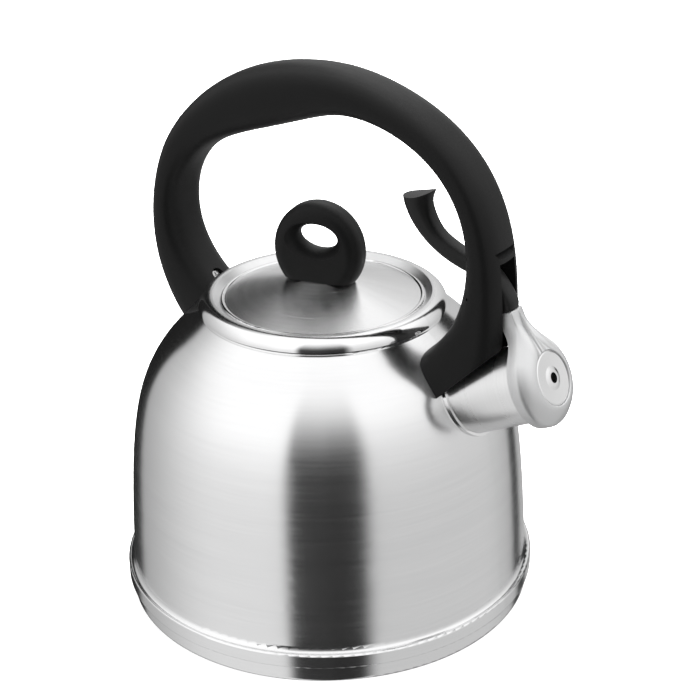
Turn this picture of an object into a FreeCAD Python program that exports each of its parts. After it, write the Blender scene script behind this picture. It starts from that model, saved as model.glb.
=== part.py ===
"""Stovetop whistling kettle: one STEP file for each physical piece.

Millimetres. The origin is the centre of the base on the hob, +Z is up, and +X points to the spout.
The handle, the spout and the whistle lever all lie in the XZ plane, so the kettle is mirror-symmetric
about it, apart from the lid knob, which is turned a little.
"""
import FreeCAD
import Part
import math
import os

V = FreeCAD.Vector
Y_AXIS = V(0, 1, 0)
Z_AXIS = V(0, 0, 1)
ORIGIN = V(0, 0, 0)

# ---- driving dimensions -------------------------------------------------------------------------
FOOT_BAND_R = 100.0          # upper band, the widest part of the vessel
BASE_R = 98.0                # lower band, the outside of the base capsule
SEAM_LOW_Z = 8.2             # top edge of the lower band
SEAM_HIGH_Z = 8.8            # bottom edge of the upper band
FOOT_BAND_TOP_Z = 15.9
SHEET = 0.9                  # thickness of the pressed steel
# outside of the vessel above the foot band: (radius, height) from the wall to the lid opening
BODY_OUTLINE = [(96.9, 18.4), (96.3, 33.0), (95.0, 55.0), (93.1, 76.0), (90.2, 94.0),
                (85.7, 109.0), (79.0, 121.5), (70.4, 131.8), (62.6, 138.9), (57.6, 143.4)]
OPENING_R = 53.6             # bore of the lid opening
RIM_TOP_Z = 144.9
NECK_LOW_Z = 139.2           # lower edge of the turned-down neck

SPOUT_TILT = 25.0            # degrees above level
MOUTH = V(121.6, 0, 136.6)   # centre of the whistle hole, on the spout's axis
SPOUT_R = 17.6
SPOUT_WALL = 1.0
SPOUT_MOUTH_SETBACK = 7.0    # the tube's rim lies this far behind the whistle hole
COLLAR_R = 18.9
COLLAR_HEIGHT = 1.7          # how far the collar stands off the shell
SPOUT_GAP = 0.35             # between the spout and the foot that straddles it
COLLAR_GAP = 0.3
STRAINER_HOLE_R = 2.0
STRAINER_PITCH = 6.4

DISC_R = 12.0                # front disc of the whistle
WHISTLE_HOLE_R = 2.4
NECK_END = 33.8              # from the spout's axis to the joint with the lever
NECK_HALF_WIDTH = 4.3

PIVOT = V(85.6, 0, 170.2)
PIN_R = 1.2
PIN_CLEARANCE = 0.05
DRIVE_OUT_R = 0.65
SLOT_HALF_WIDTH = 6.2
LEVER_HALF_WIDTH = 5.3

HANDLE_CENTRE_Z = 165.0
# handle stations: (angle round the handle's centre, radius to the section's centre, half thickness
# in the handle's plane, half width across it, squareness on the outer side and on the lid's side:
# 2 is an ellipse, more is boxier)
HANDLE_STATIONS = [(-36, 90.0, 28.0, 19.6, 2.8, 3.8), (-20, 87.2, 17.7, 18.3, 2.8, 3.8),
                   (-6, 88.7, 11.9, 15.1, 2.5, 3.0), (6, 90.3, 9.3, 14.4, 2.4, 2.4),
                   (20, 93.3, 7.7, 13.8, 2.4, 2.4), (40, 94.4, 7.2, 13.6, 2.4, 2.4),
                   (60, 90.2, 8.2, 13.5, 2.4, 2.4), (80, 85.3, 10.6, 13.5, 2.4, 2.4),
                   (100, 80.8, 13.7, 13.5, 2.4, 2.4), (120, 81.6, 13.5, 13.5, 2.4, 2.4),
                   (140, 86.1, 10.3, 13.5, 2.4, 2.4), (160, 88.0, 7.7, 13.7, 2.4, 2.4),
                   (180, 84.9, 9.1, 14.2, 2.4, 2.4), (198, 78.2, 12.6, 15.2, 2.6, 2.6),
                   (214, 71.5, 14.5, 16.2, 2.8, 2.8)]

LID_CENTRE_Z = 158.3         # top of the lid's shallow cone
LID_FLAT_R = 11.0            # level seat of the knob
LID_RING_R = 46.9            # small raised ring round the spun disc
LID_RING_Z = 148.9
LID_RIM_CENTRE = (52.0, 144.8)       # (radius, height) of the centre of the rounded rim's section
LID_RIM_RADIUS = 6.35
SKIRT_R = 52.7
SKIRT_LOW_Z = 138.6
KNOB_TURN = 12.0             # degrees between the knob's plane and the handle's plane
KNOB_HALF_WIDTH = 21.7
KNOB_HALF_HEIGHT = 23.0      # of the full oval, which the lid cuts short
KNOB_CENTRE_Z = 172.3
KNOB_HALF_THICKNESS = 8.0
KNOB_OFFSET = 1.3            # the knob's middle plane lies this far from the lid's axis, towards -Y
KNOB_EDGE_ROUND = 6.5
KNOB_HOLE = (-0.3, 178.5)     # centre of the finger hole in the knob's plane
KNOB_THROAT = (9.6, 6.2)    # half width and half height of the hole at its narrowest
KNOB_FUNNEL = 1.62           # the hole's mouth is this much larger than its throat
FIT_GAP = 0.05


# ---- small helpers ------------------------------------------------------------------------------
def face_of(points):
    """A flat face inside straight edges."""
    return Part.Face(Part.makePolygon(points + [points[0]]))


def revolve(edges):
    """A solid of revolution about Z from the edges of a closed outline in the XZ plane."""
    face = Part.Face(Part.Wire(Part.__sortEdges__(edges)))
    return face.revolve(ORIGIN, Z_AXIS, 360)


def lines(pairs):
    """Straight edges through (radius, height) pairs."""
    points = [V(r, 0, z) for r, z in pairs]
    return [Part.makeLine(a, b) for a, b in zip(points, points[1:])]


def arc(start, middle, end):
    """An arc through three (radius, height) pairs."""
    return Part.Arc(V(start[0], 0, start[1]), V(middle[0], 0, middle[1]), V(end[0], 0, end[1])).toShape()


def spline(pairs):
    """A smooth curve through (radius, height) pairs."""
    curve = Part.BSplineCurve()
    curve.interpolate([V(r, 0, z) for r, z in pairs])
    return curve


def cylinder(radius, start, direction, length):
    return Part.makeCylinder(radius, length, start, direction)


def prism(outline, half_width):
    """A plate in the XZ plane, as wide as twice half_width, from (x, z) pairs."""
    face = face_of([V(x, -half_width, z) for x, z in outline])
    return face.extrude(V(0, 2 * half_width, 0))


def save(name, shape):
    os.makedirs("parts", exist_ok=True)
    shape.exportStep("parts/" + name + ".step")
    print("%-24s solids %d valid %s volume %9.1f" % (name, len(shape.Solids), shape.isValid(), shape.Volume))


# ---- vessel -------------------------------------------------------------------------------------
def offset_inward(curve, distance, count=40):
    """Points of the vessel's outline moved inward, square to the wall."""
    first, last = curve.FirstParameter, curve.LastParameter
    points = []
    for i in range(count + 1):
        t = first + (last - first) * i / count
        tangent = curve.tangent(t)[0]
        point = curve.value(t)
        points.append((point.x - distance * tangent.z, point.z + distance * tangent.x))
    return points


def dome_solid(growth=0.0):
    """The filled vessel, grown outward by growth, for trimming what stands on it."""
    outside = offset_inward(spline(BODY_OUTLINE), -growth, 24)
    curve = spline(outside)
    top = outside[-1]
    base = outside[0]
    edges = lines([(0, base[1]), base]) + [curve.toShape()]
    edges += lines([top, (0, top[1])]) + lines([(0, top[1]), (0, base[1])])
    return revolve(edges)


def make_body_shell():
    outer = spline(BODY_OUTLINE)
    inner_points = offset_inward(outer, SHEET)
    inner = spline(inner_points[::4])
    wall_foot, wall_top = BODY_OUTLINE[0], BODY_OUTLINE[-1]
    inner_foot, inner_top = inner_points[0], inner_points[-1]
    band_in = FOOT_BAND_R - SHEET
    edges = [outer.toShape(), inner.toShape()]
    # rolled rim and turned-down neck of the lid opening
    rim_r = wall_top[0] - 1.6
    edges.append(arc(wall_top, (wall_top[0] - 0.5, RIM_TOP_Z - 0.45), (rim_r, RIM_TOP_Z)))
    edges += lines([(rim_r, RIM_TOP_Z), (OPENING_R + 0.8, RIM_TOP_Z)])
    edges.append(arc((OPENING_R + 0.8, RIM_TOP_Z), (OPENING_R + 0.23, RIM_TOP_Z - 0.23),
                     (OPENING_R, RIM_TOP_Z - 0.8)))
    edges += lines([(OPENING_R, RIM_TOP_Z - 0.8), (OPENING_R, NECK_LOW_Z),
                    (OPENING_R + SHEET, NECK_LOW_Z), (OPENING_R + SHEET, RIM_TOP_Z - 1.6), inner_top])
    # flared foot band with a rounded upper corner and a small fillet into the wall
    band_z = FOOT_BAND_TOP_Z
    edges.append(arc(wall_foot, (97.5, 16.6), (98.7, band_z)))
    edges += lines([(98.7, band_z), (99.2, band_z)])
    edges.append(arc((99.2, band_z), (99.77, band_z - 0.23), (FOOT_BAND_R, band_z - 0.8)))
    edges += lines([(FOOT_BAND_R, band_z - 0.8), (FOOT_BAND_R, SEAM_HIGH_Z + 0.7)])
    edges.append(arc((FOOT_BAND_R, SEAM_HIGH_Z + 0.7), (FOOT_BAND_R - 0.2, SEAM_HIGH_Z + 0.2),
                     (FOOT_BAND_R - 0.7, SEAM_HIGH_Z)))
    edges += lines([(FOOT_BAND_R - 0.7, SEAM_HIGH_Z), (band_in - 0.4, SEAM_HIGH_Z),
                    (band_in - 0.4, band_z - 1.2), inner_foot])
    shell = revolve(edges)
    holes = [cylinder(STRAINER_HOLE_R, start, spout_axis(), 40.0) for start in strainer_positions()]
    return shell.cut(Part.makeCompound(holes))


def make_bottom_pan():
    """Dished floor: a flat plate with an upturned rim inside the foot band."""
    radius = FOOT_BAND_R - SHEET - 0.4 - FIT_GAP
    plate = Part.makeCylinder(radius, 1.2, V(0, 0, SEAM_LOW_Z))
    rim = Part.makeCylinder(radius, 5.0, V(0, 0, SEAM_LOW_Z))
    bore = Part.makeCylinder(radius - 1.0, 6.0, V(0, 0, SEAM_LOW_Z))
    return plate.fuse(rim.cut(bore)).removeSplitter()


def make_heat_spreader_disc():
    return Part.makeCylinder(BASE_R - SHEET - FIT_GAP, SEAM_LOW_Z - SHEET, V(0, 0, SHEET))


def make_base_capsule():
    """Shallow steel cup over the core, with a rounded lower corner."""
    corner = 2.2
    inner_r = BASE_R - SHEET
    cos45 = math.cos(math.pi / 4)
    edges = lines([(0, 0), (BASE_R - corner, 0)])
    edges.append(arc((BASE_R - corner, 0), (BASE_R - corner + corner * cos45, corner - corner * cos45),
                     (BASE_R, corner)))
    edges += lines([(BASE_R, corner), (BASE_R, SEAM_LOW_Z - 0.4), (BASE_R - 0.4, SEAM_LOW_Z),
                    (inner_r, SEAM_LOW_Z), (inner_r, SHEET), (0, SHEET), (0, 0)])
    return revolve(edges)


# ---- spout --------------------------------------------------------------------------------------
def spout_axis():
    tilt = math.radians(SPOUT_TILT)
    return V(math.cos(tilt), 0, math.sin(tilt))


def spout_up():
    tilt = math.radians(SPOUT_TILT)
    return V(-math.sin(tilt), 0, math.cos(tilt))


def on_spout(along, up, across=0.0):
    """A point given from the whistle hole: along the spout's axis, up from it, and across it."""
    return MOUTH + spout_axis() * along + spout_up() * up + Y_AXIS * across


def strainer_positions():
    """Centres of the holes punched behind the spout, in rings of six."""
    starts = [on_spout(-62.0, 0)]
    for ring, count in ((1, 6), (2, 12)):
        for i in range(count):
            turn = 2 * math.pi * i / count
            starts.append(on_spout(-62.0, ring * STRAINER_PITCH * math.cos(turn),
                                   ring * STRAINER_PITCH * math.sin(turn)))
    return starts


def make_spout_tube():
    length = 60.0
    start = on_spout(-SPOUT_MOUTH_SETBACK - length, 0)
    tube = cylinder(SPOUT_R, start, spout_axis(), length)
    mouth = on_spout(-SPOUT_MOUTH_SETBACK, 0)
    rim = [edge for edge in tube.Edges if edge.BoundBox.Center.sub(mouth).Length < 1]
    tube = tube.makeFillet(0.5, rim)
    bore = cylinder(SPOUT_R - SPOUT_WALL, start, spout_axis(), length + 1)
    return tube.cut(bore).cut(dome_solid(FIT_GAP))


def make_spout_collar():
    """Ring that follows the shell round the tube's root."""
    length = 60.0
    start = on_spout(-SPOUT_MOUTH_SETBACK - length, 0)
    ring = cylinder(COLLAR_R, start, spout_axis(), length)
    ring = ring.cut(cylinder(SPOUT_R + FIT_GAP, start, spout_axis(), length))
    ring = ring.common(dome_solid(COLLAR_HEIGHT)).cut(dome_solid(FIT_GAP))
    solids = sorted(ring.Solids, key=lambda solid: solid.BoundBox.Center.x)
    return solids[-1]


# ---- handle -------------------------------------------------------------------------------------
def section_wire(centre, normal, half_thickness, half_width, outer, inner, count=24):
    """A closed rounded section in the plane of normal and Y."""
    points = []
    for i in range(count):
        turn = 2 * math.pi * i / count
        c, s = math.cos(turn), math.sin(turn)
        squareness = outer if c > 0 else inner
        u = math.copysign(abs(c) ** (2 / squareness), c) * half_thickness
        v = math.copysign(abs(s) ** (2 / squareness), s) * half_width
        points.append(centre + normal * u + Y_AXIS * v)
    curve = Part.BSplineCurve()
    curve.interpolate(Points=points, PeriodicFlag=True)
    return Part.Wire(curve.toShape())


def loft_sections(wires, ruled=False):
    solid = Part.makeLoft(wires, True, ruled)
    if solid.Volume < 0:
        solid.reverse()
    return solid


def handle_centre(angle, radius):
    turn = math.radians(angle)
    return V(radius * math.cos(turn), 0, HANDLE_CENTRE_Z + radius * math.sin(turn))


def handle_loft():
    path = Part.BSplineCurve()
    centres = [handle_centre(station[0], station[1]) for station in HANDLE_STATIONS]
    path.interpolate(centres)
    wires = []
    for centre, station in zip(centres, HANDLE_STATIONS):
        tangent = path.tangent(path.parameter(centre))[0]
        normal = V(tangent.z, 0, -tangent.x)
        wires.append(section_wire(centre, normal, *station[2:]))
    return loft_sections(wires)


# where the front leg's underside runs, clear of the spout, and the slot for the lever
FRONT_UNDERSIDE = [(75.5, 123.5), (98.2, 145.8), (101.6, 150.5), (103.5, 156.0), (150, 175), (150, 60),
                   (60, 60), (60, 108)]
REAR_UNDERSIDE = [(-70.5, 124.5), (-88.0, 135.0), (-140, 150), (-140, 60), (-60, 60), (-60, 112)]
SLOT_OUTLINE = [(120, 184.4), (93, 186.2), (70, 197), (70, 172.6), (79.6, 172.6), (80.0, 163.0),
                (90.0, 158.0), (93.0, 137.0), (120, 137.0)]
CAP_BACK_DEPTH = -10.5       # the handle keeps this far behind the whistle hole beside the cap
# outline of what the cap sweeps as it opens: (distance from the pivot's axis, across)
CAP_SWEEP = [(21.2, -6.2), (21.2, 6.2), (31.0, 15.5), (60.0, 15.5), (60.0, -15.5), (31.0, -15.5)]
TONGUE_HALF_WIDTH = 6.0
TONGUE_HALF_THICKNESS = 1.5
TONGUE_LENGTH = 15.0
SADDLE = (11.0, 6.5)         # half width across and half length of the welded saddle
SADDLE_THICKNESS = 1.5
FRONT_FOOT = (V(68.2, 0, 133.9), V(0.62, 0, 0.785))      # middle of the foot and the leg's direction
REAR_FOOT = (V(-64.5, 0, 133.5), V(-0.62, 0, 0.785))


def bracket(foot, grow=0.0):
    """Welded saddle on the shoulder with a tongue that stands up into the foot."""
    centre, direction = foot
    across = Y_AXIS
    side = V(direction.z, 0, -direction.x)

    def block(half_across, half_side, below, above):
        corner = centre - across * half_across - side * half_side - direction * below
        box = Part.makeBox(2 * half_side, 2 * half_across, below + above)
        placement = FreeCAD.Matrix(side.x, 0, direction.x, corner.x,
                                   0, 1, 0, corner.y,
                                   side.z, 0, direction.z, corner.z, 0, 0, 0, 1)
        return box.transformGeometry(placement)

    tongue = block(TONGUE_HALF_WIDTH + grow, TONGUE_HALF_THICKNESS + grow, 12.0, TONGUE_LENGTH + grow)
    plate = block(SADDLE[0] + grow, SADDLE[1] + grow, 12.0, 12.0)
    plate = plate.common(dome_solid(SADDLE_THICKNESS + grow))
    return tongue.fuse(plate).cut(dome_solid(FIT_GAP)).cut(spout_clearance(COLLAR_R + COLLAR_GAP))


def spout_clearance(radius):
    """A round bar on the spout's axis, for what straddles the spout's root."""
    return cylinder(radius, on_spout(-67.0, 0), spout_axis(), 60.0)


def cap_sweep():
    """Room for the opening cap: a double cone about the pivot, in front of the cap's back."""
    ring = revolve(lines(CAP_SWEEP + [CAP_SWEEP[0]]))
    ring.rotate(ORIGIN, V(1, 0, 0), 90)
    ring.translate(PIVOT)
    return ring.common(spout_block((CAP_BACK_DEPTH, 60), (-60, 60), 30))


def make_handle():
    shape = handle_loft()
    shape = shape.cut(prism(FRONT_UNDERSIDE, 40)).cut(prism(REAR_UNDERSIDE, 40))
    shape = shape.cut(dome_solid(0.15)).cut(spout_clearance(SPOUT_R + SPOUT_GAP))
    collar_room = spout_clearance(COLLAR_R + COLLAR_GAP).common(dome_solid(COLLAR_HEIGHT + COLLAR_GAP))
    shape = shape.cut(collar_room)
    shape = shape.cut(prism(SLOT_OUTLINE, SLOT_HALF_WIDTH)).cut(cap_sweep())
    for foot, reach in ((FRONT_FOOT, FRONT_SCREW_REACH), (REAR_FOOT, REAR_SCREW_REACH)):
        shape = shape.cut(bracket(foot, 0.2)).cut(screw_pocket(foot, reach))
    pin_length = 40.0
    shape = shape.cut(cylinder(PIN_R, PIVOT - Y_AXIS * 11.0, Y_AXIS, pin_length))
    shape = shape.cut(cylinder(DRIVE_OUT_R, PIVOT - Y_AXIS * 30.0, Y_AXIS, pin_length))
    return shape


# ---- fasteners of the handle --------------------------------------------------------------------
SCREW_R = 1.6
SCREW_HEAD_R = 3.2
SCREW_HEAD_HEIGHT = 1.9
SCREW_UP_TONGUE = 8.0        # the screw crosses the tongue this far above the saddle
FRONT_SCREW_REACH = 3.7      # from the tongue to the underside of the screw's head
REAR_SCREW_REACH = 6.0


def screw_line(foot):
    """Where the foot's screw crosses the tongue, and the way its head points, up over the lid."""
    centre, direction = foot
    outward = V(-math.copysign(direction.z, centre.x), 0, abs(direction.x))
    return centre + direction * SCREW_UP_TONGUE, outward


def handle_screw(foot, reach):
    point, outward = screw_line(foot)
    shank = cylinder(SCREW_R, point - outward * 3.0, outward, reach + 3.3)
    head = cylinder(SCREW_HEAD_R, point + outward * reach, outward, SCREW_HEAD_HEIGHT)
    top_edges = [e for e in head.Edges if (e.BoundBox.Center - point).dot(outward) > reach + 1.5
                 and e.Length > 2 * SCREW_HEAD_R * 3]
    head = head.makeFillet(0.6, top_edges)
    across = Y_AXIS
    along = outward.cross(across)
    screw = shank.fuse(head)
    for first, second in ((across, along), (along, across)):
        corner = point + outward * (reach + SCREW_HEAD_HEIGHT - 1.0) - first * 2.0 - second * 0.4
        blade = Part.makeBox(4.0, 0.8, 3.0)
        blade = blade.transformGeometry(FreeCAD.Matrix(
            first.x, second.x, outward.x, corner.x, first.y, second.y, outward.y, corner.y,
            first.z, second.z, outward.z, corner.z, 0, 0, 0, 1))
        screw = screw.cut(blade)
    return screw.removeSplitter()


def screw_pocket(foot, reach):
    """Clearance for a foot's screw, its head and the screwdriver."""
    point, outward = screw_line(foot)
    pocket = cylinder(SCREW_R + FIT_GAP, point - outward * 3.4, outward, 20.0)
    return pocket.fuse(cylinder(SCREW_HEAD_R + 0.3, point + outward * reach, outward, 30.0))


# ---- lever --------------------------------------------------------------------------------------
CAP_JOINT_DEPTH = (-13.2, -5.2)      # back and front of the lever's arm at the joint
BOSS_R = 4.9
BOSS_FAR_Y = 1.5                     # the boss leaves room for the spring beside it
TONGUE_DEPTH = 7.0                   # how far the lever's tongue reaches into the cap's neck
# stations of the arm: (x, z of the centre, half thickness, half width)
LEVER_STATIONS = [(97.3, 169.4, 3.8, 4.7), (92.4, 175.6, 3.9, 5.0), (85.6, 180.0, 4.0, 5.3),
                  (77.6, 182.4, 3.9, 5.3), (69.0, 185.9, 3.9, 5.3), (61.4, 191.0, 4.0, 5.3),
                  (56.1, 197.8, 4.8, 5.7), (53.3, 204.2, 6.2, 6.3), (53.0, 209.0, 7.1, 6.7),
                  (53.6, 214.0, 7.8, 6.9)]
PAD_HOLLOW = (30.0, 46.4, 237.4)     # radius, x and z of the hollow for the thumb, across the free end


def make_lever():
    joint = on_spout(sum(CAP_JOINT_DEPTH) / 2, NECK_END + 0.15)
    joint_half = (CAP_JOINT_DEPTH[1] - CAP_JOINT_DEPTH[0]) / 2
    centres = [joint] + [V(x, 0, z) for x, z, _, _ in LEVER_STATIONS]
    sizes = [(joint_half, NECK_HALF_WIDTH - 0.15)] + [(t, w) for _, _, t, w in LEVER_STATIONS]
    path = Part.BSplineCurve()
    path.interpolate(Points=centres)
    wires = []
    for i, (centre, (half_thickness, half_width)) in enumerate(zip(centres, sizes)):
        tangent = path.tangent(path.parameter(centre))[0] if i else spout_up()
        normal = V(tangent.z, 0, -tangent.x)
        squareness = 2.8 if i < len(centres) - 3 else 2.15
        wires.append(section_wire(centre, normal, half_thickness, half_width, squareness, squareness))
    arm = loft_sections(wires)
    hollow_r, hollow_x, hollow_z = PAD_HOLLOW
    arm = arm.cut(cylinder(hollow_r, V(hollow_x, -20, hollow_z), Y_AXIS, 40.0))
    web_low = [(PIVOT.x - 4.6, PIVOT.z + 1.0), (PIVOT.x + 4.6, PIVOT.z + 1.0), (94.0, 175.5),
               (88.0, 179.0), (81.0, 180.0)]
    face = face_of([V(x, -LEVER_HALF_WIDTH, z) for x, z in web_low])
    web = face.extrude(V(0, LEVER_HALF_WIDTH + BOSS_FAR_Y, 0))
    boss = cylinder(BOSS_R, PIVOT - Y_AXIS * LEVER_HALF_WIDTH, Y_AXIS, LEVER_HALF_WIDTH + BOSS_FAR_Y)
    tongue = spout_block((-10.2, -6.4), (NECK_END - TONGUE_DEPTH, NECK_END + 2.0), 2.6)
    body = arm.fuse([web, boss, tongue])
    body = body.cut(cylinder(PIN_R + PIN_CLEARANCE, PIVOT - Y_AXIS * 20, Y_AXIS, 40.0))
    body = body.cut(cap_screw_bore(1.0))
    return body.removeSplitter()


def spout_block(depths, ups, half_width):
    """A box squared to the spout's axis, from depth and height ranges about the whistle hole."""
    points = [on_spout(depths[0], ups[0]), on_spout(depths[1], ups[0]),
              on_spout(depths[1], ups[1]), on_spout(depths[0], ups[1])]
    face = face_of([p - Y_AXIS * half_width for p in points])
    return face.extrude(Y_AXIS * (2 * half_width))


def make_pivot_pin():
    return cylinder(PIN_R, PIVOT - Y_AXIS * 11.0, Y_AXIS, 22.5)


def make_lever_spring():
    """Torsion spring round the pin: a few turns, a long leg down to the handle and a short one up."""
    coil_r, wire_r, pitch, turns = 3.2, 0.4, 0.95, 3
    long_leg, short_leg = 8.0, 2.4
    rise = pitch * turns
    slope = pitch / (2 * math.pi * coil_r)
    foot, start = V(coil_r, -long_leg, -long_leg * slope), V(coil_r, 0, 0)
    end, tip = V(coil_r, 0, rise), V(coil_r, short_leg, rise + short_leg * slope)
    path = Part.Wire([Part.makeLine(foot, start)] + Part.makeHelix(pitch, rise, coil_r).Edges
                     + [Part.makeLine(end, tip)])
    profile = Part.Wire(Part.makeCircle(wire_r, foot, V(0, 1, slope)))
    spring = path.makePipeShell([profile], True, True)
    # the helix climbs Z, and the pin lies along Y
    spring.rotate(ORIGIN, V(1, 0, 0), 90)
    spring.translate(V(PIVOT.x, BOSS_FAR_Y + 0.9 + rise, PIVOT.z))
    return spring


# ---- whistle cap --------------------------------------------------------------------------------
# the cap from its back to its front: (depth, radius of the round part, length and half width of
# the neck), so that the side wall, the soft step and the bulging front follow each other
CAP_STATIONS = [(-10.0, 20.9, 40.0, 4.9), (-8.0, 20.7, 40.0, 4.9), (-6.0, 20.3, 40.0, 4.8),
                (-4.9, 19.0, 36.5, 3.7), (-3.9, 18.4, 33.5, 3.3), (-2.6, 17.5, 29.0, 3.0),
                (-1.4, 16.1, 24.0, 2.7), (-0.5, 14.4, 19.0, 2.5), (0.0, 12.7, 14.5, 2.4)]
# the neck thickens backwards to meet the lever: (depth, up from the spout's axis)
NECK_HEEL = [(-9.0, 18.8), (-10.0, 18.8), (-13.4, 30.0), (-13.4, 40.0), (-9.0, 40.0)]
NECK_HEEL_HALF_WIDTH = 4.6
DISC_RECESS = 1.1
REAR_DISC_SEAT = (-5.2, -4.3)
CAP_BORE_R = 18.7
SEAL_DEPTHS = (-6.9, -5.2)
CAP_SCREW_UP = 29.2


def teardrop(depth, radius, neck_end, neck_half_width, count=15):
    """Closed outline of the cap at one depth: a circle that flows into a narrow neck above it."""
    flank = math.radians(38)
    shoulder_up, shoulder_across = radius * math.sin(flank), radius * math.cos(flank)
    outline = []
    for i in range(count):
        turn = -math.pi / 2 + (math.pi / 2 + flank) * i / (count - 1)
        outline.append((radius * math.sin(turn), radius * math.cos(turn)))
    # the flank starts along the circle and ends along the neck
    slope = -math.tan(flank)
    rise = neck_end - neck_half_width - shoulder_up
    for i in range(1, 7):
        t = i / 6
        h0 = 2 * t ** 3 - 3 * t ** 2 + 1
        h1 = t ** 3 - 2 * t ** 2 + t
        h2 = -2 * t ** 3 + 3 * t ** 2
        across = h0 * shoulder_across + h1 * slope * rise * 1.25 + h2 * neck_half_width
        outline.append((shoulder_up + rise * t, max(across, neck_half_width * 0.9)))
    for turn in (30, 60):
        angle = math.radians(turn)
        drop = neck_half_width * (1 - math.sin(angle))
        outline.append((neck_end - drop, neck_half_width * math.cos(angle)))
    half = [on_spout(depth, up, across) for up, across in outline]
    mirrored = [on_spout(depth, up, -across) for up, across in outline[:0:-1]]
    points = half + [on_spout(depth, neck_end, 0)] + mirrored
    curve = Part.BSplineCurve()
    curve.interpolate(Points=points, PeriodicFlag=True)
    return Part.Wire(curve.toShape())


def cap_stations():
    """The cap's stations with one more halfway between each pair, on smooth curves."""
    columns = list(zip(*CAP_STATIONS))
    count = len(CAP_STATIONS)
    fine = []
    for i in range(2 * count - 1):
        if i % 2 == 0:
            fine.append(CAP_STATIONS[i // 2])
            continue
        k = i // 2
        before, after = max(k - 1, 0), min(k + 2, count - 1)
        fine.append(tuple((9 * (c[k] + c[k + 1]) - c[before] - c[after]) / 16 for c in columns))
    return fine


def cap_screw_bore(grow):
    return cylinder(1.25 * grow, on_spout(-12.0, CAP_SCREW_UP), spout_axis(), 6.4)


def make_whistle_cap():
    wires = [teardrop(*station) for station in cap_stations()]
    body = loft_sections(wires, ruled=True)
    heel = face_of([on_spout(depth, up, -NECK_HEEL_HALF_WIDTH) for depth, up in NECK_HEEL])
    body = body.fuse(heel.extrude(Y_AXIS * (2 * NECK_HEEL_HALF_WIDTH)))
    body = body.cut(spout_block((-30, 10), (NECK_END, 60), 20.0))
    axis = spout_axis()
    hollow = cylinder(CAP_BORE_R, on_spout(-20.0, 0), axis, 20.0 + REAR_DISC_SEAT[0])
    rear_seat = cylinder(12.55, on_spout(-6.0, 0), axis, 6.0 + REAR_DISC_SEAT[1])
    chamber = cylinder(10.4, on_spout(-6.0, 0), axis, 12.0)
    front_seat = cylinder(DISC_R + 0.4, on_spout(-DISC_RECESS, 0), axis, 4.0)
    body = body.cut(hollow.fuse([rear_seat, chamber, front_seat]).removeSplitter())
    socket = spout_block((-10.25, -6.35), (NECK_END - TONGUE_DEPTH - 0.1, 50), 2.65)
    head_seat = cylinder(2.5, on_spout(-14.0, CAP_SCREW_UP), axis, 3.1)
    return body.cut(socket.fuse([cap_screw_bore(1.05), head_seat]).removeSplitter())


def make_cap_screw():
    axis = spout_axis()
    head = cylinder(2.3, on_spout(-11.7, CAP_SCREW_UP), axis, 0.75)
    return head.fuse(cylinder(1.25, on_spout(-11.7, CAP_SCREW_UP), axis, 5.9)).removeSplitter()


def disc(outline):
    """Turn a flat outline of (radius, depth) pairs about the spout's axis."""
    edges = lines(outline + [outline[0]])
    solid = revolve(edges)
    axis, up = spout_axis(), spout_up()
    side = up.cross(axis)
    return solid.transformGeometry(FreeCAD.Matrix(
        up.x, side.x, axis.x, MOUTH.x, up.y, side.y, axis.y, MOUTH.y, up.z, side.z, axis.z, MOUTH.z,
        0, 0, 0, 1))


def make_whistle_front_disc():
    hole = WHISTLE_HOLE_R
    return disc([(hole, -0.75), (hole, 0.05), (hole + 0.5, 0.1), (hole + 1.5, -0.05),
                 (hole + 3.0, -0.5), (DISC_R - 0.6, -0.25), (DISC_R, -0.5), (DISC_R, -1.1),
                 (hole + 3.0, -1.1), (hole + 1.5, -0.75)])


def make_whistle_rear_disc():
    hole = WHISTLE_HOLE_R + 0.3
    return disc([(hole, REAR_DISC_SEAT[0]), (12.5, REAR_DISC_SEAT[0]), (12.5, REAR_DISC_SEAT[1]),
                 (hole, REAR_DISC_SEAT[1])])


def make_cap_seal():
    return disc([(14.4, SEAL_DEPTHS[0]), (18.5, SEAL_DEPTHS[0]), (18.5, SEAL_DEPTHS[1]),
                 (12.8, SEAL_DEPTHS[1]), (12.8, SEAL_DEPTHS[1] - 0.7)])


# ---- lid ----------------------------------------------------------------------------------------
def rim_point(radius, lean):
    """A point of the lid's rounded rim: lean is 0 level with its centre and 90 at its crest."""
    turn = math.radians(lean)
    return LID_RIM_CENTRE[0] + radius * math.cos(turn), LID_RIM_CENTRE[1] + radius * math.sin(turn)


def make_lid_pan():
    """Pressed lid: shallow cone, small raised ring, rising annulus and a polished rounded rim."""
    t = SHEET
    ring_r, ring_z = LID_RING_R, LID_RING_Z
    cone_end = (ring_r - 1.1, ring_z)
    annulus = (ring_r + 1.1, ring_z - 0.1)
    crest, edge = 97.0, 5.0
    middle = (crest + edge) / 2
    outer = [rim_point(LID_RIM_RADIUS, lean) for lean in (crest, middle, edge)]
    inner = [rim_point(LID_RIM_RADIUS - t, lean) for lean in (edge, middle, crest)]
    edges = lines([(0, LID_CENTRE_Z - t), (0, LID_CENTRE_Z), (LID_FLAT_R, LID_CENTRE_Z), cone_end])
    edges.append(arc(cone_end, (ring_r, ring_z + 0.55), annulus))
    edges += lines([annulus, outer[0]])
    edges.append(arc(*outer))
    edges += lines([outer[2], inner[0]])
    edges.append(arc(*inner))
    edges += lines([inner[2], (ring_r + 1.1, ring_z - 0.1 - t), (ring_r - 1.2, ring_z - t),
                    (LID_FLAT_R - 0.1, LID_CENTRE_Z - t), (0, LID_CENTRE_Z - t)])
    pan = revolve(edges)
    return pan.cut(cylinder(2.1, V(0, 0, 150), Z_AXIS, 20))


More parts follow.
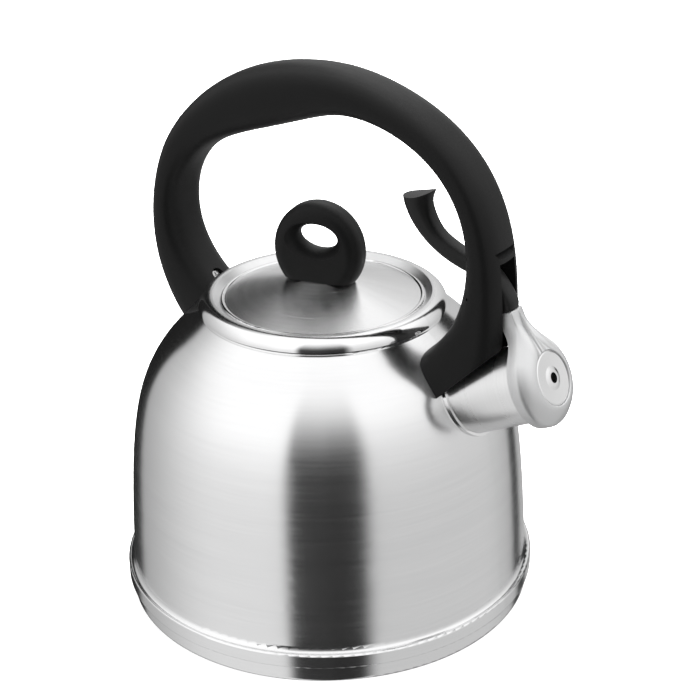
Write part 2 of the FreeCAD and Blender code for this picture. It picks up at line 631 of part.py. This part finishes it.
def make_lid_skirt():
    """Locating ring under the lid, with a flange welded to the annulus."""
    t = 0.8
    top = LID_RING_Z - SHEET - 0.15
    low = SKIRT_LOW_Z
    edges = lines([(48.4, top), (SKIRT_R - 0.8, top)])
    edges.append(arc((SKIRT_R - 0.8, top), (SKIRT_R - 0.23, top - 0.23), (SKIRT_R, top - 0.8)))
    edges += lines([(SKIRT_R, top - 0.8), (SKIRT_R, low), (SKIRT_R - t, low), (SKIRT_R - t, top - t),
                    (48.4, top - t), (48.4, top)])
    return revolve(edges)


def make_lid_knob():
    oval = Part.Ellipse(ORIGIN, KNOB_HALF_HEIGHT, KNOB_HALF_WIDTH).toShape()
    oval.rotate(ORIGIN, Z_AXIS, 90)
    face = Part.Face(Part.Wire(oval))
    block = face.extrude(V(0, 0, 2 * KNOB_HALF_THICKNESS))
    block.translate(V(0, 0, -KNOB_HALF_THICKNESS))
    block = block.makeFillet(KNOB_EDGE_ROUND, [e for e in block.Edges if e.Length > 100])
    # stand the oval up in the XZ plane
    block.rotate(ORIGIN, V(1, 0, 0), 90)
    block.translate(V(0, -KNOB_OFFSET, KNOB_CENTRE_Z))
    block = block.cut(Part.makeBox(100, 100, 50, V(-50, -50, LID_CENTRE_Z + FIT_GAP - 50)))
    half_w, half_h = KNOB_THROAT
    reach = KNOB_HALF_THICKNESS + 1.0
    profile = [Part.Arc(V(half_h * KNOB_FUNNEL, -reach, 0), V(half_h, 0, 0),
                        V(half_h * KNOB_FUNNEL, reach, 0)).toShape()]
    profile.append(Part.makeLine(V(half_h * KNOB_FUNNEL, reach, 0), V(0, reach, 0)))
    profile.append(Part.makeLine(V(0, reach, 0), V(0, -reach, 0)))
    profile.append(Part.makeLine(V(0, -reach, 0), V(half_h * KNOB_FUNNEL, -reach, 0)))
    funnel = Part.Face(Part.Wire(Part.__sortEdges__(profile))).revolve(ORIGIN, Y_AXIS, 360)
    stretch = FreeCAD.Matrix()
    stretch.scale(half_w / half_h, 1, 1)
    funnel = funnel.transformGeometry(stretch)
    funnel.translate(V(KNOB_HOLE[0], -KNOB_OFFSET, KNOB_HOLE[1]))
    block = block.cut(funnel)
    block = block.cut(cylinder(1.95, V(0, 0, 150), Z_AXIS, 17.5))
    block.rotate(ORIGIN, Z_AXIS, KNOB_TURN)
    return block


def make_knob_washer():
    washer = cylinder(6.5, V(0, 0, LID_CENTRE_Z - SHEET - 1.0), Z_AXIS, 1.0 - FIT_GAP)
    return washer.cut(cylinder(2.1, V(0, 0, 150), Z_AXIS, 20))


def make_knob_screw():
    head_top = LID_CENTRE_Z - SHEET - 1.0 - FIT_GAP
    head = cylinder(3.6, V(0, 0, head_top - 2.0), Z_AXIS, 2.0)
    low_edges = [e for e in head.Edges if e.BoundBox.Center.z < head_top - 1.9 and e.Length > 20]
    head = head.makeFillet(0.8, low_edges)
    screw = head.fuse(cylinder(1.9, V(0, 0, head_top - 0.5), Z_AXIS, 11.0))
    for size in ((4.4, 0.9), (0.9, 4.4)):
        screw = screw.cut(Part.makeBox(size[0], size[1], 3.0, V(-size[0] / 2, -size[1] / 2, head_top - 4.0)))
    return screw.removeSplitter()


PARTS = {
    "body_shell": make_body_shell,
    "bottom_pan": make_bottom_pan,
    "heat_spreader_disc": make_heat_spreader_disc,
    "base_capsule": make_base_capsule,
    "spout_tube": make_spout_tube,
    "spout_collar": make_spout_collar,
    "handle": make_handle,
    "front_handle_bracket": lambda: bracket(FRONT_FOOT).cut(screw_pocket(FRONT_FOOT, 12.0)),
    "rear_handle_bracket": lambda: bracket(REAR_FOOT).cut(screw_pocket(REAR_FOOT, 12.0)),
    "front_handle_screw": lambda: handle_screw(FRONT_FOOT, FRONT_SCREW_REACH),
    "rear_handle_screw": lambda: handle_screw(REAR_FOOT, REAR_SCREW_REACH),
    "lever": make_lever,
    "pivot_pin": make_pivot_pin,
    "lever_spring": make_lever_spring,
    "whistle_cap": make_whistle_cap,
    "cap_screw": make_cap_screw,
    "whistle_front_disc": make_whistle_front_disc,
    "whistle_rear_disc": make_whistle_rear_disc,
    "cap_seal": make_cap_seal,
    "lid_pan": make_lid_pan,
    "lid_skirt": make_lid_skirt,
    "lid_knob": make_lid_knob,
    "knob_washer": make_knob_washer,
    "knob_screw": make_knob_screw,
}

for name, make in PARTS.items():
    save(name, make())
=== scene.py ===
import bmesh
import bpy
import math
from mathutils import Matrix, Vector

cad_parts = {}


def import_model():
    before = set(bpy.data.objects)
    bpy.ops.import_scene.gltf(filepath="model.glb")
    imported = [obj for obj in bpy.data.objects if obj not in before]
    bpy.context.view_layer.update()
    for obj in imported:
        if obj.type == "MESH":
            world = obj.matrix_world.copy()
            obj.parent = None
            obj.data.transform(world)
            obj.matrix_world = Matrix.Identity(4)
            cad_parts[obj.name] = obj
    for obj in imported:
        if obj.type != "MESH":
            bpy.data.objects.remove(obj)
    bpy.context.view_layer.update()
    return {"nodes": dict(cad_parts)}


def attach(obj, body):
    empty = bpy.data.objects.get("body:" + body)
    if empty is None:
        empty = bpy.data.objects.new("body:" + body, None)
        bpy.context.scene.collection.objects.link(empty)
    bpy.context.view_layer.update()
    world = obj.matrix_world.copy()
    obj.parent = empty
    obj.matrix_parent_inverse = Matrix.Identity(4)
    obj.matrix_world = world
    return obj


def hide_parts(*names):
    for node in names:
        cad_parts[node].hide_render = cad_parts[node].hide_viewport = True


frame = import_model()
nodes = frame["nodes"]

MM = 0.001
SPOUT_TILT = math.radians(25.0)

# ranges over which one finish turns into the next: heights on the body, radii on the lid
SATIN_STARTS = (0.017, 0.026)
SATIN_ENDS = (0.140, 0.100)
RING_STARTS = (0.0457, 0.0460)
RING_ENDS = (0.0480, 0.0477)
ANNULUS_STARTS = (0.0477, 0.0481)
BEAD_STARTS = (0.0522, 0.0535)


# ---- node helpers ---------------------------------------------------------------------------
class Nodes:
    """Short names for building one material's node tree."""

    def __init__(self, name, emits_only=False):
        self.material = bpy.data.materials.new(name)
        self.material.use_nodes = True
        self.tree = self.material.node_tree
        if emits_only:
            self.tree.nodes.clear()
        else:
            self.shader = self.tree.nodes["Principled BSDF"]

    def add(self, kind, **settings):
        node = self.tree.nodes.new(kind)
        for key, value in settings.items():
            setattr(node, key, value)
        return node

    def link(self, source, target):
        self.tree.links.new(source, target)

    def math(self, operation, first, second=None):
        node = self.add("ShaderNodeMath", operation=operation)
        for i, value in enumerate((first, second)):
            if value is None:
                continue
            if isinstance(value, (int, float)):
                node.inputs[i].default_value = value
            else:
                self.link(value, node.inputs[i])
        return node.outputs[0]

    def position(self):
        """x, y, z in the row frame, and the radius and the turn about Z."""
        coordinate = self.add("ShaderNodeTexCoord")
        split = self.add("ShaderNodeSeparateXYZ")
        self.link(coordinate.outputs["Object"], split.inputs[0])
        x, y, z = split.outputs
        flat = self.math("ADD", self.math("MULTIPLY", x, x), self.math("MULTIPLY", y, y))
        return x, y, z, self.math("SQRT", flat), self.math("ARCTAN2", y, x)

    def combine(self, x, y, z):
        node = self.add("ShaderNodeCombineXYZ")
        for socket, value in zip(node.inputs, (x, y, z)):
            if isinstance(value, (int, float)):
                socket.default_value = value
            else:
                self.link(value, socket)
        return node.outputs[0]

    def noise(self, vector, scale, detail=2.0, roughness=0.5):
        node = self.add("ShaderNodeTexNoise")
        self.link(vector, node.inputs["Vector"])
        node.inputs["Scale"].default_value = scale
        node.inputs["Detail"].default_value = detail
        node.inputs["Roughness"].default_value = roughness
        return node.outputs["Fac"]

    def step(self, value, low, high):
        """Smooth step from 0 to 1 as value goes from low to high."""
        node = self.add("ShaderNodeMapRange", interpolation_type="SMOOTHSTEP")
        self.link(value, node.inputs["Value"])
        limits = (("From Min", low), ("From Max", high), ("To Min", 0.0), ("To Max", 1.0))
        for name, number in limits:
            node.inputs[name].default_value = number
        return node.outputs[0]

    def mix(self, factor, first, second):
        """Blend two numbers."""
        node = self.add("ShaderNodeMix", data_type="FLOAT")
        sockets = (node.inputs[0], node.inputs[2], node.inputs[3])
        for socket, value in zip(sockets, (factor, first, second)):
            if isinstance(value, (int, float)):
                socket.default_value = value
            else:
                self.link(value, socket)
        return node.outputs[0]

    def colours(self, factor, first, second):
        node = self.add("ShaderNodeMix", data_type="RGBA")
        self.link(factor, node.inputs[0])
        node.inputs[6].default_value = (*first, 1)
        node.inputs[7].default_value = (*second, 1)
        self.link(node.outputs[2], self.shader.inputs["Base Color"])

    def bump(self, height, strength, distance):
        node = self.add("ShaderNodeBump")
        node.inputs["Strength"].default_value = strength
        node.inputs["Distance"].default_value = distance
        self.link(height, node.inputs["Height"])
        self.link(node.outputs[0], self.shader.inputs["Normal"])

    def set(self, **values):
        for key, value in values.items():
            self.shader.inputs[key.replace("_", " ")].default_value = value

    def brushing(self, amount):
        """Scratches run round Z, so highlights stretch across them."""
        self.set(Anisotropic=amount, Anisotropic_Rotation=0.25)
        tangent = self.add("ShaderNodeTangent", direction_type="RADIAL", axis="Z")
        self.link(tangent.outputs[0], self.shader.inputs["Tangent"])


def steel_body():
    """Fine brushing round the wall, brighter polish on the shoulder, the flare and the bands."""
    n = Nodes("satin_steel_body")
    _, _, z, _, turn = n.position()
    around = n.combine(n.math("MULTIPLY", turn, 1.6), n.math("MULTIPLY", z, 900.0), 0.0)
    lines = n.noise(around, 1.0, 3.0, 0.6)
    drift = n.combine(n.math("MULTIPLY", turn, 0.8), n.math("MULTIPLY", z, 130.0), 0.0)
    broad = n.noise(drift, 1.0, 2.0)
    satin = n.math("MULTIPLY", n.step(z, *SATIN_STARTS), n.step(z, *SATIN_ENDS))
    rough = n.mix(satin, 0.17, 0.22)
    swing = n.math("MULTIPLY", n.math("SUBTRACT", lines, 0.5), n.mix(satin, 0.02, 0.10))
    rough = n.math("ADD", rough, swing)
    n.link(rough, n.shader.inputs["Roughness"])
    n.colours(n.math("ADD", n.math("MULTIPLY", lines, 0.5), n.math("MULTIPLY", broad, 0.5)),
              (0.70, 0.70, 0.705), (0.80, 0.80, 0.80))
    n.set(Metallic=1.0)
    n.brushing(0.7)
    n.bump(n.math("MULTIPLY", lines, satin), 0.05, 0.00005)
    return n.material


def steel_lid():
    """Spun disc, bright raised ring, satin annulus and a polished bead."""
    n = Nodes("spun_steel_lid")
    _, _, _, radius, turn = n.position()
    around = n.combine(n.math("MULTIPLY", turn, 0.6), n.math("MULTIPLY", radius, 900.0), 0.0)
    lines = n.noise(around, 1.0, 4.0, 0.65)
    # slow variation round the disc paints the fan of lighter and darker rays into the colour: painted
    # highlights and painted dark reflections of the spun finish
    painted_highlight_rays = n.noise(n.combine(n.math("COSINE", turn), n.math("SINE", turn), 0.0), 2.6, 2.0, 0.6)
    ring = n.math("MULTIPLY", n.step(radius, *RING_STARTS), n.step(radius, *RING_ENDS))
    bead = n.step(radius, *BEAD_STARTS)
    polish = n.math("MAXIMUM", ring, bead)
    annulus = n.math("MULTIPLY", n.step(radius, *ANNULUS_STARTS), n.step(radius, *reversed(BEAD_STARTS)))
    rough = n.mix(annulus, 0.26, 0.30)
    rough = n.mix(polish, rough, 0.12)
    spread = n.mix(polish, 0.07, 0.01)
    rough = n.math("ADD", rough, n.math("MULTIPLY", n.math("SUBTRACT", lines, 0.5), spread))
    n.link(rough, n.shader.inputs["Roughness"])
    # colour mixes the real spun lines with the painted highlight and reflection rays
    tone = n.math("ADD", n.math("MULTIPLY", lines, 0.35), n.math("MULTIPLY", painted_highlight_rays, 0.65))
    n.colours(tone, (0.68, 0.68, 0.685), (0.88, 0.88, 0.88))
    n.set(Metallic=1.0)
    n.brushing(0.85)
    n.bump(n.math("MULTIPLY", lines, n.math("SUBTRACT", 1.0, polish)), 0.03, 0.00005)
    return n.material


def steel_tube(name, rough_low, rough_high, dark, bright):
    """Satin or polished steel with faint lines round the spout's axis."""
    n = Nodes(name)
    x, y, z, _, _ = n.position()
    along = n.math("ADD", n.math("MULTIPLY", x, math.cos(SPOUT_TILT)),
                   n.math("MULTIPLY", z, math.sin(SPOUT_TILT)))
    across = n.combine(n.math("MULTIPLY", along, 900.0), n.math("MULTIPLY", y, 30.0), 0.0)
    lines = n.noise(across, 1.0, 4.0, 0.6)
    n.link(n.mix(lines, rough_low, rough_high), n.shader.inputs["Roughness"])
    n.colours(lines, (dark,) * 3, (bright,) * 3)
    n.set(Metallic=1.0)
    n.bump(lines, 0.04, 0.00004)
    return n.material


def nylon(name, dark, light, roughness, specular):
    """Moulded plastic with a fine matte grain."""
    n = Nodes(name)
    coordinate = n.add("ShaderNodeTexCoord").outputs["Object"]
    grain = n.noise(coordinate, 2600.0, 3.0, 0.7)
    broad = n.noise(coordinate, 60.0, 3.0, 0.5)
    tone = n.math("ADD", n.math("MULTIPLY", grain, 0.5), n.math("MULTIPLY", broad, 0.5))
    n.colours(tone, (dark,) * 3, (light,) * 3)
    n.link(n.mix(grain, roughness - 0.07, roughness + 0.09), n.shader.inputs["Roughness"])
    n.set(Specular_IOR_Level=specular)
    n.bump(grain, 0.35, 0.00012)
    return n.material


def silver_paint():
    """Satin silver paint: fine flakes under a soft clear layer."""
    n = Nodes("silver_paint")
    coordinate = n.add("ShaderNodeTexCoord").outputs["Object"]
    flakes = n.noise(coordinate, 5200.0, 2.0, 0.8)
    broad = n.noise(coordinate, 90.0, 2.0, 0.5)
    n.colours(n.math("ADD", n.math("MULTIPLY", flakes, 0.7), n.math("MULTIPLY", broad, 0.3)),
              (0.62, 0.625, 0.63), (0.86, 0.86, 0.86))
    n.link(n.mix(flakes, 0.34, 0.46), n.shader.inputs["Roughness"])
    n.set(Metallic=0.55, Coat_Weight=0.2, Coat_Roughness=0.3)
    n.bump(flakes, 0.06, 0.00003)
    return n.material


def plain_metal(name, dark, light, roughness):
    n = Nodes(name)
    coordinate = n.add("ShaderNodeTexCoord").outputs["Object"]
    cloud = n.noise(coordinate, 700.0, 4.0, 0.6)
    n.colours(cloud, (dark,) * 3, (light,) * 3)
    n.link(n.mix(cloud, roughness - 0.05, roughness + 0.08), n.shader.inputs["Roughness"])
    n.set(Metallic=1.0)
    n.bump(cloud, 0.05, 0.00003)
    return n.material


def silicone():
    n = Nodes("grey_silicone")
    coordinate = n.add("ShaderNodeTexCoord").outputs["Object"]
    cloud = n.noise(coordinate, 900.0, 3.0, 0.6)
    n.colours(cloud, (0.16, 0.16, 0.165), (0.24, 0.24, 0.245))
    n.link(n.mix(cloud, 0.5, 0.65), n.shader.inputs["Roughness"])
    n.bump(cloud, 0.1, 0.00005)
    return n.material


body_steel = steel_body()
lid_steel = steel_lid()
tube_steel = steel_tube("satin_steel_tube", 0.24, 0.34, 0.68, 0.80)
bright_steel = steel_tube("bright_steel", 0.10, 0.18, 0.74, 0.86)
black = nylon("black_nylon", 0.012, 0.019, 0.42, 0.14)
lever_black = nylon("lever_nylon", 0.020, 0.032, 0.44, 0.22)
paint = silver_paint()
core = plain_metal("aluminium_core", 0.62, 0.78, 0.35)
sheet = plain_metal("plain_steel", 0.50, 0.62, 0.30)
screw = plain_metal("screw_steel", 0.48, 0.64, 0.24)
seal = silicone()

FINISH = {
    "body_shell": body_steel, "base_capsule": body_steel, "bottom_pan": body_steel,
    "spout_tube": tube_steel, "spout_collar": bright_steel,
    "lid_pan": lid_steel, "lid_skirt": lid_steel,
    "front_handle_bracket": bright_steel, "rear_handle_bracket": bright_steel,
    "whistle_front_disc": bright_steel, "whistle_rear_disc": sheet,
    "heat_spreader_disc": core,
    "handle": black, "lid_knob": black, "lever": lever_black, "whistle_cap": paint,
    "front_handle_screw": screw, "rear_handle_screw": screw, "cap_screw": screw, "knob_screw": screw,
    "lever_spring": screw, "pivot_pin": sheet, "knob_washer": sheet, "cap_seal": seal,
}
for name, material in FINISH.items():
    mesh = nodes[name].data
    mesh.materials.clear()
    mesh.materials.append(material)


# ---- whistle cap, modelled as one smooth skin -----------------------------------------------
MOUTH = Vector((121.6, 0.0, 136.6)) * MM
ALONG = Vector((math.cos(SPOUT_TILT), 0, math.sin(SPOUT_TILT)))
UPWARD = Vector((-math.sin(SPOUT_TILT), 0, math.cos(SPOUT_TILT)))
CAP_RADIUS = 20.8            # round part, at the side wall
CAP_BACK = -10.0             # depths are measured from the whistle hole
CAP_CREASE = -5.6
CAP_FRONT_RADIUS = 12.7      # where the bulging front meets the disc's seat
NECK_TOP = 33.8
NECK_HALF = 4.9
NECK_STARTS = 29.0
HEEL_DEPTH = 3.4
FLANK = math.radians(38)     # turn at which the outline leaves the circle for the neck
BORE_RADIUS = 18.7
BORE_END = -5.2
FRONT_DISC_SEAT = (12.4, -1.1)
REAR_DISC_SEAT = (12.55, -4.3)
THROAT_RADIUS = 10.4         # between the seats of the two discs
ROUND_STEPS = 32
FLANK_STEPS = 24
SKIN_STEPS = 14


def spout_point(depth, up, across):
    return MOUTH + (ALONG * depth + UPWARD * up) * MM + Vector((0, across, 0)) * MM


def ease(t):
    t = min(max(t, 0.0), 1.0)
    return t * t * (3 - 2 * t)


def cap_half_outline():
    """Half of the cap's outline from bottom to top, as (up, across, turn for the round seats)."""
    half = []
    for i in range(ROUND_STEPS + 1):
        turn = -math.pi / 2 + (math.pi / 2 + FLANK) * i / ROUND_STEPS
        half.append((CAP_RADIUS * math.sin(turn), CAP_RADIUS * math.cos(turn), turn))
    low, wide = half[-1][0], half[-1][1]
    rise = NECK_STARTS - low
    for i in range(1, FLANK_STEPS + 1):
        t = i / FLANK_STEPS
        h0 = 2 * t ** 3 - 3 * t ** 2 + 1
        h1 = t ** 3 - 2 * t ** 2 + t
        h2 = -2 * t ** 3 + 3 * t ** 2
        across = h0 * wide - h1 * math.tan(FLANK) * rise * 1.25 + h2 * NECK_HALF
        half.append((low + rise * t, across, FLANK + (math.pi / 2 - FLANK) * 0.8 * t))
    for up, across, share in ((31.4, NECK_HALF, 0.86), (33.3, NECK_HALF, 0.90), (33.68, 4.75, 0.93),
                              (NECK_TOP, 4.4, 0.95), (NECK_TOP, 2.2, 0.975), (NECK_TOP, 0.0, 1.0)):
        half.append((up, across, FLANK + (math.pi / 2 - FLANK) * share))
    return half


def cap_loops():
    """Closed loops of points from the front seat over the skin, round the back and into the bore."""
    half = cap_half_outline()
    flank_turn = math.pi / 2 - FLANK

    def whole(place):
        """Both halves of one loop; place turns an outline entry into (depth, up, across)."""
        right = [place(*entry) for entry in half]
        left = [(depth, up, -across) for depth, up, across in right[-2:0:-1]]
        return [spout_point(*p) for p in right + left]

    def circle(radius, depth):
        return whole(lambda up, across, turn: (depth, radius * math.sin(turn), radius * math.cos(turn)))

    def skin(w):
        """w runs from 0 at the crease to 1 at the front seat and, on the neck, its middle line."""
        def place(up, across, turn):
            reach = max(0.0, (turn - FLANK) / flank_turn)
            spine = ease((reach - 0.25) / 0.75)
            seat_up = CAP_FRONT_RADIUS * math.sin(turn)
            seat_across = CAP_FRONT_RADIUS * math.cos(turn)
            target_up = seat_up + (up - seat_up) * spine * 0.96
            target_across = seat_across * (1 - spine)
            height = -CAP_CREASE * (1 - 0.86 * ease((target_up - 11.0) / 17.0))
            bulge = math.sin(w * math.pi / 2) ** 0.9
            return (CAP_CREASE + height * bulge, up + (target_up - up) * w,
                    across + (target_across - across) * w)
        return whole(place)

    def wall(depth, share):
        """Side wall; the neck thickens backwards as share goes to 1."""
        def place(up, across, turn):
            heel = HEEL_DEPTH * ease((up - 18.8) / 11.2) * share
            return depth - heel, up, across
        return whole(place)

    def narrow(loop_depth, inset):
        """Side wall loop drawn in a little, for the rounded edges."""
        def place(up, across, turn):
            size = math.hypot(up, across) or 1.0
            return loop_depth, up * (1 - inset / size), across * (1 - inset / size)
        return whole(place)

    front_radius, front_depth = FRONT_DISC_SEAT
    rear_radius, rear_depth = REAR_DISC_SEAT
    wall_top = CAP_CREASE - 1.2
    loops = [circle(front_radius, front_depth), circle(front_radius, -0.25), circle(12.55, -0.05)]
    loops += [skin(1 - i / SKIN_STEPS) for i in range(SKIN_STEPS)]
    loops += [narrow(CAP_CREASE - 0.25, 0.12), narrow(CAP_CREASE - 0.6, 0.1), wall(wall_top, 0.05)]
    loops += [wall(wall_top - (wall_top - CAP_BACK) * t, t) for t in (0.35, 0.7, 1.0)]
    loops += [circle(BORE_RADIUS, CAP_BACK), circle(BORE_RADIUS, BORE_END),
              circle(rear_radius, BORE_END), circle(rear_radius, rear_depth),
              circle(THROAT_RADIUS, rear_depth), circle(THROAT_RADIUS, front_depth)]
    return loops


def whistle_cap():
    loops = cap_loops()
    count = len(loops[0])
    mesh = bmesh.new()
    rings = [[mesh.verts.new(p) for p in loop] for loop in loops]
    for k in range(len(rings)):
        ring, following = rings[k], rings[(k + 1) % len(rings)]
        for i in range(count):
            j = (i + 1) % count
            mesh.faces.new((ring[i], ring[j], following[j], following[i]))
    bmesh.ops.remove_doubles(mesh, verts=mesh.verts, dist=0.00002)
    bmesh.ops.recalc_face_normals(mesh, faces=mesh.faces)
    for face in mesh.faces:
        face.smooth = True
    data = bpy.data.meshes.new("whistle_cap_skin")
    mesh.to_mesh(data)
    mesh.free()
    piece = bpy.data.objects.new("whistle_cap_skin", data)
    bpy.context.scene.collection.objects.link(piece)
    data.materials.append(paint)
    data.set_sharp_from_angle(angle=math.radians(50))
    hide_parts("whistle_cap")
    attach(piece, "lever")


whistle_cap()


# ---- studio ---------------------------------------------------------------------------------
def stage_material(name, build):
    """A glowing material; build gives its strength, a number or a socket."""
    n = Nodes(name, emits_only=True)
    level = build(n)
    emission = n.add("ShaderNodeEmission")
    if isinstance(level, float):
        emission.inputs["Strength"].default_value = level
    else:
        n.link(level, emission.inputs["Strength"])
    output = n.add("ShaderNodeOutputMaterial")
    n.link(emission.outputs[0], output.inputs["Surface"])
    return n.material


def floor():
    bpy.ops.mesh.primitive_plane_add(size=14.0, location=(0, 0, 0))
    plane = bpy.context.object
    plane.name = "floor"
    n = Nodes("pale_floor")
    coordinate = n.add("ShaderNodeTexCoord").outputs["Object"]
    cloud = n.noise(coordinate, 3.0, 2.0)
    n.colours(cloud, (0.90, 0.90, 0.90), (0.93, 0.93, 0.93))
    n.set(Roughness=0.9, Specular_IOR_Level=0.1, Emission_Strength=0.78)
    n.shader.inputs["Emission Color"].default_value = (1, 1, 1, 1)
    plane.data.materials.append(n.material)
    plane.visible_glossy = False
    plane.visible_diffuse = False


def sphere(name, radius, material):
    bpy.ops.mesh.primitive_uv_sphere_add(segments=96, ring_count=48, radius=radius, location=(0, 0, 0.1))
    ball = bpy.context.object
    ball.name = name
    ball.data.materials.append(material)
    ball.visible_shadow = False
    ball.visible_diffuse = False
    ball.visible_transmission = False
    return ball


CAMERA_AT = Vector((0.4139, -0.5785, 0.4502))
CAMERA_FORWARD = Vector((-0.5150, 0.7465, -0.4213))
CAMERA_LEVEL = Vector((0.8231, 0.5678, 0.0))
CAMERA_RISE = Vector((-0.2392, 0.3468, 0.9068))
CAMERA_ROLL = 0.0216
CAMERA_TURN = math.atan2(CAMERA_AT.y, CAMERA_AT.x)
SURROUND_RADIUS = 4.0
BACKDROP_RADIUS = 6.0


def surround_level(n):
    """Pale surround for the reflections: brighter above, with one soft dark gap in front of the kettle
    and a narrow one behind each side. It is fixed in the frame."""
    coordinate = n.add("ShaderNodeTexCoord")
    split = n.add("ShaderNodeSeparateXYZ")
    n.link(coordinate.outputs["Object"], split.inputs[0])
    x, y, z = split.outputs
    turn = n.math("ARCTAN2", y, x)
    rise = n.math("ARCSINE", n.math("DIVIDE", z, SURROUND_RADIUS))
    away = n.math("SUBTRACT", turn, CAMERA_TURN)
    # signed angle from the camera's side: positive to the picture's right
    away = n.math("ARCTAN2", n.math("SINE", away), n.math("COSINE", away))
    deg = math.radians
    side = n.step(away, deg(-4), deg(4))
    left_ramp = n.mix(n.step(away, deg(-62), deg(-140)), 1.12, 0.56)
    right_ramp = n.mix(n.step(away, deg(95), deg(135)), 0.88, 0.66)
    level = n.mix(n.step(rise, deg(18), deg(50)), n.mix(side, left_ramp, right_ramp), 1.0)
    lift = n.mix(n.step(rise, deg(-26), deg(48)), 0.82, 1.34)
    level = n.math("MULTIPLY", level, lift)
    gap = n.math("MULTIPLY", n.step(away, deg(-27), deg(-20)), n.step(away, deg(27), deg(16)))
    gap = n.math("MULTIPLY", gap, n.step(rise, deg(72), deg(6)))
    left_strip = n.math("MULTIPLY", n.step(away, deg(-173), deg(-169)),
                        n.step(away, deg(-134), deg(-139)))
    right_strip = n.math("MULTIPLY", n.step(away, deg(129), deg(132)),
                         n.step(away, deg(146), deg(143)))
    strips = n.math("MULTIPLY", n.math("ADD", left_strip, right_strip), n.step(rise, deg(70), deg(35)))
    dark = n.math("MAXIMUM", n.math("MULTIPLY", gap, 0.955), n.math("MULTIPLY", strips, 0.97))
    return n.math("MULTIPLY", level, n.math("SUBTRACT", 1.0, dark))


def surroundings():
    """What the reflections see, and the plain white the camera sees."""
    reflected = sphere("surround", SURROUND_RADIUS, stage_material("studio_surround", surround_level))
    reflected.visible_camera = False
    backdrop = sphere("backdrop", BACKDROP_RADIUS, stage_material("white_backdrop", lambda n: 1.0))
    backdrop.visible_glossy = False


def area_light(name, at, size, power, look_at=(0, 0, 0.12)):
    light = bpy.data.lights.new(name, "AREA")
    light.shape = "RECTANGLE"
    light.size, light.size_y = size
    light.energy = power
    lamp = bpy.data.objects.new(name, light)
    bpy.context.scene.collection.objects.link(lamp)
    lamp.location = at
    lamp.rotation_euler = (Vector(look_at) - Vector(at)).to_track_quat("-Z", "Y").to_euler()
    lamp.visible_glossy = False


def world():
    scene = bpy.context.scene
    scene.world = bpy.data.worlds.new("studio")
    scene.world.use_nodes = True
    background = scene.world.node_tree.nodes["Background"]
    background.inputs["Color"].default_value = (1, 1, 1, 1)
    background.inputs["Strength"].default_value = 0.22
    scene.view_settings.view_transform = "Standard"


def camera():
    data = bpy.data.cameras.new("camera")
    data.sensor_width = 36.0
    data.lens = 85.0
    data.clip_end = 50.0
    eye = bpy.data.objects.new("camera", data)
    bpy.context.scene.collection.objects.link(eye)
    forward = CAMERA_FORWARD.normalized()
    right = (CAMERA_LEVEL - CAMERA_RISE * CAMERA_ROLL).normalized()
    up = right.cross(forward).normalized()
    eye.matrix_world = Matrix.Translation(CAMERA_AT) @ Matrix(
        ((right.x, up.x, -forward.x, 0), (right.y, up.y, -forward.y, 0),
         (right.z, up.z, -forward.z, 0), (0, 0, 0, 1)))
    bpy.context.scene.camera = eye


floor()
surroundings()
world()
camera()
area_light("overhead", (-0.55, 0.85, 1.7), (1.3, 1.3), 95.0)
area_light("fill", (1.3, -0.2, 0.9), (0.9, 0.9), 5.0)
